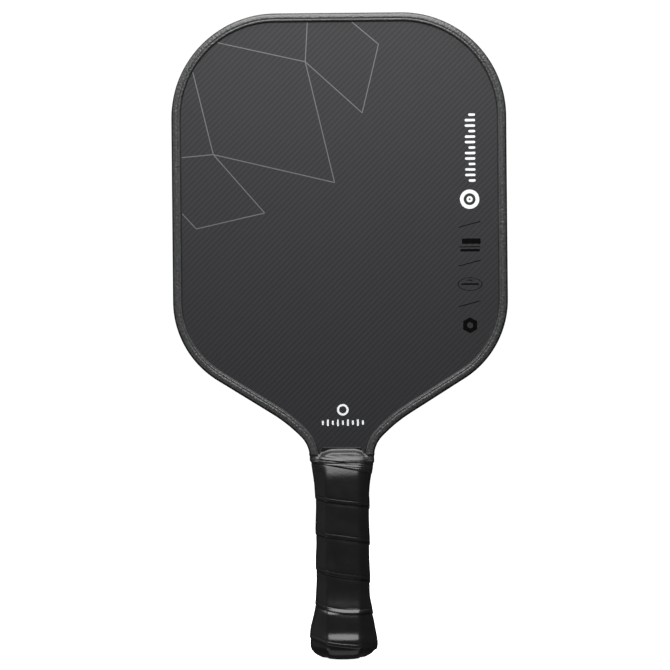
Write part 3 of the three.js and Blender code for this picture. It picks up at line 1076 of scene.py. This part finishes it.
@dataclass(frozen=True)
class FinishingTape:
    """The glossy tape that closes the grip's top: two turns pulled over the neck and up onto the board."""

    shape: HandleShape
    columns: int = 256
    rows: int = 88
    foot: float = 118.5
    slant: float = 0.2
    upper_edge: float = 121.7
    edge_lift: float = 0.08
    lower_turn: Fade = Fade(0.28, -0.05, 0.3)
    upper_turn: Fade = Fade(0.34, -0.1, 0.35)
    settling: Fade = Fade(-0.6, 123.0, 126)
    wrap_top: float = 123.0
    side_top: float = 127.3
    board_part: Fade = Fade(4.0, 15.6, 14.6)
    between_lips: Fade = Fade(1.0, 15.5, 14.8)
    arch_top: float = 130.6
    arch_middle: float = 1.0
    arch_fall: Fade = Fade(-3.3, 6.0, 18.5)
    arch_rise: float = 3.3
    board_lift: float = 0.34
    ripple: float = 0.03
    wall: float = 0.16
    neck: tuple[tuple[float, float, float, float, float], ...] = (
        (123.2, 19.35, 12.2, 10.4, 9.9), (126.0, 19.8, 11.4, 10.6, 9.3), (129.0, 20.6, 10.7, 11.5, 9.2),
        (131.5, 21.3, 10.0, 14.0, 9.1))
    creases: tuple[Crease, ...] = (
        Crease((-9.5, 120.9), (17.5, 118.6), 0.26, 0.45),
        Crease((-2.0, 119.7), (17.5, 116.9), 0.22, 0.4),
        Crease((-14.0, 124.6), (2.0, 122.7), 0.3, 0.5),
        Crease((-17.0, 122.9), (-6.0, 122.3), 0.22, 0.35),
        Crease((-12.0, 126.0), (-4.0, 125.0), 0.2, 0.5),
        Crease((13.0, 125.6), (20.0, 122.0), 0.2, 0.5),
        Crease((10.0, 121.0), (19.0, 118.5), 0.2, 0.4),
    )

    def _lower_edge(self, across: float) -> float:
        """Gives the height of the lower turn's slanting edge."""
        return self.foot - self.slant * across

    def _upper_edge(self, across: float) -> float:
        """Gives the height of the upper turn's edge."""
        return max(self.upper_edge + 0.25 * math.sin(0.3 * across), self._lower_edge(across) + 0.7)

    def _top_edge(self, across: float) -> float:
        """Gives the height of the top edge: high between the guard's lips, lower over them and the sides."""
        return self.side_top + self.board_part.at(abs(across))

    def _arch(self, across: float) -> float:
        """Gives the height at which the tape comes down onto the board."""
        return self.arch_top + self.arch_fall.at(abs(across - self.arch_middle))

    def _sizes(self, height: float) -> Sizes:
        """Gives the tape's half sizes at a height, over the grip and then over the neck.

        Args:
            height: The height on the handle.

        Returns:
            The four half sizes.
        """
        if height <= self.wrap_top:
            return self.shape.sizes(height)
        levels = self.neck
        for low, high in zip(levels, levels[1:]):
            if height <= high[0]:
                share = max((height - low[0]) / (high[0] - low[0]), 0.0)
                return tuple(a + (b - a) * share for a, b in zip(low[1:], high[1:]))
        return levels[-1][1:]

    def _point(self, angle: float, share: float) -> Vector:
        """Places a point of the tape's outer surface.

        Args:
            angle: The direction, in radians from +X.
            share: How far up it is, from its lower edge to its top edge.

        Returns:
            Its place in millimetres.
        """
        guess = self.shape.point(120, angle, 0)
        across = guess.x
        low = self._lower_edge(across)
        height = low + (self._top_edge(across * 1.06) - low) * share
        lift = self.edge_lift + self.lower_turn.at(height - low)
        lift += self.upper_turn.at(height - self._upper_edge(across))
        lift *= 1 + self.settling.at(height)
        if guess.y < 0:
            lift += sum(crease.rise(across, height) for crease in self.creases)
        wave = math.sin(0.9 * across + 1.3 * height) * math.sin(0.37 * across - 0.8 * height)
        reach = self.shape.reach(self._sizes(height), angle) + lift + self.ripple * wave
        place = Vector((reach * math.cos(angle), reach * math.sin(angle), height))
        arch = self._arch(place.x)
        onto = smooth_share(height, arch - self.arch_rise, arch) * self.between_lips.at(abs(place.x))
        board, depth = BOARD_HALF + self.board_lift, abs(place.y)
        if depth > board:
            place.y = math.copysign(depth + (board - depth) * onto, place.y)
        return place

    def build(self, finish: Material) -> bpy.types.Object:
        """Draws the sleeve up in rings and gives the film its thickness.

        Args:
            finish: The tape's material.

        Returns:
            The tape.
        """
        maker = bmesh.new()
        angles = maker.verts.layers.float.new("angle")
        shares = maker.verts.layers.float.new("share")
        ring = bmesh.ops.create_circle(maker, radius=20, segments=self.columns)["verts"]
        for index, vert in enumerate(ring):
            vert[angles] = 2 * math.pi * index / self.columns
        edges = maker.edges[:]
        for row in range(1, self.rows + 1):
            made = bmesh.ops.extrude_edge_only(maker, edges=edges)["geom"]
            fresh = set(only(made, BMVert))
            for vert in fresh:
                vert[shares] = row / self.rows
            edges = [edge for edge in only(made, BMEdge) if fresh.issuperset(edge.verts)]
        for vert in maker.verts:
            vert.co = self._point(vert[angles], vert[shares])
        bmesh.ops.recalc_face_normals(maker, faces=maker.faces[:])
        middle = maker.faces[0].calc_center_median()
        if maker.faces[0].normal.dot(Vector((middle.x, middle.y, 0))) < 0:
            bmesh.ops.reverse_faces(maker, faces=maker.faces[:])
        tape = finished("finishing_tape_turns", maker, [finish], 60)
        film = tape.modifiers.new("film", "SOLIDIFY")
        film.thickness = self.wall * MM
        film.offset = -1
        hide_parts("finishing_tape")
        return tape


# --- stage -------------------------------------------------------------------


@dataclass(frozen=True)
class SoftBox:
    """A rectangular lamp that faces a point."""

    name: str
    at: Point
    aim: Point
    size: Pair
    radiance: float

    def build(self) -> None:
        """Hangs the lamp, unseen by the camera."""
        lamp = bpy.data.lights.new(self.name, "AREA")
        lamp.shape = "RECTANGLE"
        lamp.size, lamp.size_y = self.size
        lamp.energy = self.radiance * math.pi * self.size[0] * self.size[1]
        holder = bpy.data.objects.new(self.name, lamp)
        turn = (Vector(self.aim) - Vector(self.at)).to_track_quat("-Z", "Y")
        holder.matrix_world = Matrix.Translation(self.at) @ turn.to_matrix().to_4x4()
        holder.visible_camera = False
        bpy.context.scene.collection.objects.link(holder)


@dataclass(frozen=True)
class Studio:
    """The white room: a pale floor, soft lamps and the camera."""

    aim: Point = (-0.0036, 0.0, 0.139)
    distance: float = 1.9
    frame_width: float = 0.417
    roll: float = -0.53
    sensor: float = 36.0
    floor_half: float = 6.0
    floor_gap: float = 0.0005
    surround: float = 0.05
    white: float = 1.05
    lamps: tuple[SoftBox, ...] = (
        SoftBox("key_front", (0.0, -0.872, 0.670), (0.0, -0.65, -0.21), (0.7, 0.7), 6.0),
        SoftBox("key_above", (0.0, -0.241, 0.829), (0.0, -0.02, -0.05), (0.7, 0.65), 6.9),
        SoftBox("back_key", (0.0, 1.2, 0.75), (0.0, 0.0, 0.1), (1.0, 0.7), 3.0),
        SoftBox("left_side", (-1.1, 0.0, 0.95), (0.0, 0.0, 0.15), (0.9, 0.6), 2.5),
        SoftBox("right_side", (1.1, 0.0, 0.95), (0.0, 0.0, 0.15), (0.9, 0.6), 0.6),
        SoftBox("low_left", (-0.9, -0.9, -0.7), (0.0, 0.0, 0.15), (0.8, 0.8), 0.9),
        SoftBox("low_right", (0.9, -0.9, -0.7), (0.0, 0.0, 0.15), (0.8, 0.8), 0.25),
        SoftBox("left_fill", (-1.3, -0.3, 0.05), (0.0, 0.0, 0.0), (1.3, 0.9), 0.13),
        SoftBox("butt_glow", (0.0, -0.045, -0.125), (0.0, 0.0, -0.058), (0.1, 0.08), 0.7),
    )

    def build(self) -> None:
        """Sets up the room, the lamps and the camera."""
        self._world()
        self._floor()
        for lamp in self.lamps:
            lamp.build()
        self._camera()
        bpy.context.scene.view_settings.view_transform = "Standard"

    def _world(self) -> None:
        """Makes the surround white behind the paddle and dim in its reflections."""
        world = bpy.data.worlds.new("room")
        world.use_nodes = True
        tree = world.node_tree
        tree.nodes.clear()
        path = tree.nodes.new("ShaderNodeLightPath")
        dim = tree.nodes.new("ShaderNodeBackground")
        white = tree.nodes.new("ShaderNodeBackground")
        mix = tree.nodes.new("ShaderNodeMixShader")
        out = tree.nodes.new("ShaderNodeOutputWorld")
        dim.inputs["Color"].default_value = (self.surround, self.surround, self.surround, 1)
        white.inputs["Color"].default_value = (1, 1, 1, 1)
        white.inputs["Strength"].default_value = self.white
        tree.links.new(path.outputs["Is Camera Ray"], mix.inputs[0])
        tree.links.new(dim.outputs[0], mix.inputs[1])
        tree.links.new(white.outputs[0], mix.inputs[2])
        tree.links.new(mix.outputs[0], out.inputs["Surface"])
        bpy.context.scene.world = world

    def _floor(self) -> None:
        """Lays the pale floor under the butt."""
        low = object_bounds()[0][2]
        maker = bmesh.new()
        bmesh.ops.create_grid(maker, x_segments=1, y_segments=1, size=self.floor_half,
                              matrix=Matrix.Translation((0, 0, low - self.floor_gap)))
        mesh = bpy.data.meshes.new("floor")
        maker.to_mesh(mesh)
        maker.free()
        shading = Shading("floor_paint")
        paint = shading.dress(
            Base_Color=shading.tint(shading.noise(90, 3), (0.86, 0.86, 0.86), (0.9, 0.9, 0.9)),
            Roughness=0.9, Emission_Color=(1.0, 1.0, 1.0), Emission_Strength=self.white)
        mesh.materials.append(paint)
        floor = bpy.data.objects.new("floor", mesh)
        bpy.context.scene.collection.objects.link(floor)
        floor.visible_glossy = False
        floor.visible_diffuse = False
        floor.visible_shadow = False
        floor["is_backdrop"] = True

    def _camera(self) -> None:
        """Stands the camera level in front of the paddle, rolled by the paddle's slight lean."""
        lens = bpy.data.cameras.new("camera")
        lens.sensor_width = self.sensor
        lens.lens = self.sensor * self.distance / self.frame_width
        lens.clip_start = 0.05
        camera = bpy.data.objects.new("camera", lens)
        place = Matrix.Translation(Vector(self.aim) + Vector((0, -self.distance, 0)))
        upright = Matrix.Rotation(math.pi / 2, 4, "X")
        camera.matrix_world = place @ upright @ Matrix.Rotation(math.radians(self.roll), 4, "Z")
        bpy.context.scene.collection.objects.link(camera)
        bpy.context.scene.camera = camera


# --- paddle ------------------------------------------------------------------


@dataclass
class Paddle:
    """The whole paddle: its CAD nodes dressed, and the pieces that stand for some of them."""

    nodes: dict[str, bpy.types.Object]
    shape: HandleShape = HandleShape()

    def dress_nodes(self) -> None:
        """Gives every carried-over node its finish, by the ending of its name."""
        glue = ((0.35, 0.33, 0.26), (0.5, 0.48, 0.4), 5, (0.4, 0.6), 1.5)
        finishes = {
            "outer_ply": TwillFinish("twill_face"),
            "inner_ply": TwillFinish("inner_cloth", tow=1.6, warp=(0.03, 0.03, 0.032)),
            "honeycomb_core": MottledFinish(
                "core_cells", (0.55, 0.56, 0.52), (0.7, 0.71, 0.66), 8, (0.4, 0.6), 2.5, 0.2),
            "edge_foam": MottledFinish(
                "foam_cells", (0.02, 0.02, 0.022), (0.04, 0.04, 0.043), 2, (0.8, 0.95), 0.6, 0.15),
            "edge_tape": MottledFinish("edge_adhesive", *glue, 0.03),
            "handle_tape": MottledFinish("handle_adhesive", *glue, 0.02),
            "butt_cap": MottledFinish(
                "cap_plastic", (0.008, 0.008, 0.009), (0.014, 0.014, 0.015), 5, (0.35, 0.5), 0.5, 0.03),
            "butt_label": MottledFinish(
                "label_film", (0.03, 0.03, 0.032), (0.045, 0.045, 0.048), 3, (0.2, 0.3), 1.0, 0.01),
            "grip_backing": MottledFinish(
                "backing_felt", (0.03, 0.03, 0.03), (0.055, 0.055, 0.053), 1.5, (0.85, 0.95), 0.3, 0.1),
            "staple": MottledFinish(
                "staple_steel", (0.45, 0.45, 0.46), (0.6, 0.6, 0.61), 1, (0.25, 0.4), 0.2, 0.01, 1.0),
            "scrim": MottledFinish(
                "scrim_fleece", (0.6, 0.6, 0.57), (0.78, 0.78, 0.74), 1.2, (0.85, 0.95), 0.4, 0.08),
            "handle_pallet": MottledFinish(
                "pallet_foam", (0.012, 0.012, 0.013), (0.025, 0.025, 0.026), 1.5, (0.7, 0.85), 0.4, 0.12),
        }
        for ending, finish in finishes.items():
            material = finish.material()
            for name, node in self.nodes.items():
                if name.endswith(ending):
                    node.data.materials.clear()
                    node.data.materials.append(material)
                    log.info("%s dressed in %s", name, material.name)

    def build(self) -> None:
        """Builds the pieces that stand for CAD nodes, and the prints."""
        # The rim and the lip are one black plastic: the rim's darker copy is painted shade, the lip's lighter
        # copy is painted light.
        guard_rim = MottledFinish(
            "guard_rim", (0.004, 0.004, 0.004), (0.008, 0.008, 0.008), 6, (0.42, 0.55), 1.5, 0.02)
        EdgeGuard().build(guard_rim.material(), GuardFinish("guard_lip_painted_light").material())
        WoundGrip(self.shape).build(GripFinish().material())
        FinishingTape(self.shape).build(TapeFinish().material())
        line_ink = InkFinish("line_ink", (0.10, 0.10, 0.105), (0.16, 0.16, 0.165)).material()
        white_ink = InkFinish("white_ink", (0.80, 0.82, 0.83), (0.9, 0.92, 0.93)).material()
        gloss_ink = InkFinish(
            "gloss_ink", (0.001, 0.001, 0.001), (0.003, 0.003, 0.003), (0.1, 0.16)).material()
        for side in Side:
            FacePrints(side).build(line_ink, white_ink, gloss_ink)


def main() -> None:
    """Loads the frame, builds the studio and the paddle."""
    logging.basicConfig(level=logging.INFO, format="%(name)s: %(message)s")
    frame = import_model()
    Studio().build()
    paddle = Paddle(frame["nodes"])
    paddle.dress_nodes()
    paddle.build()


if __name__ == "__main__":
    main()
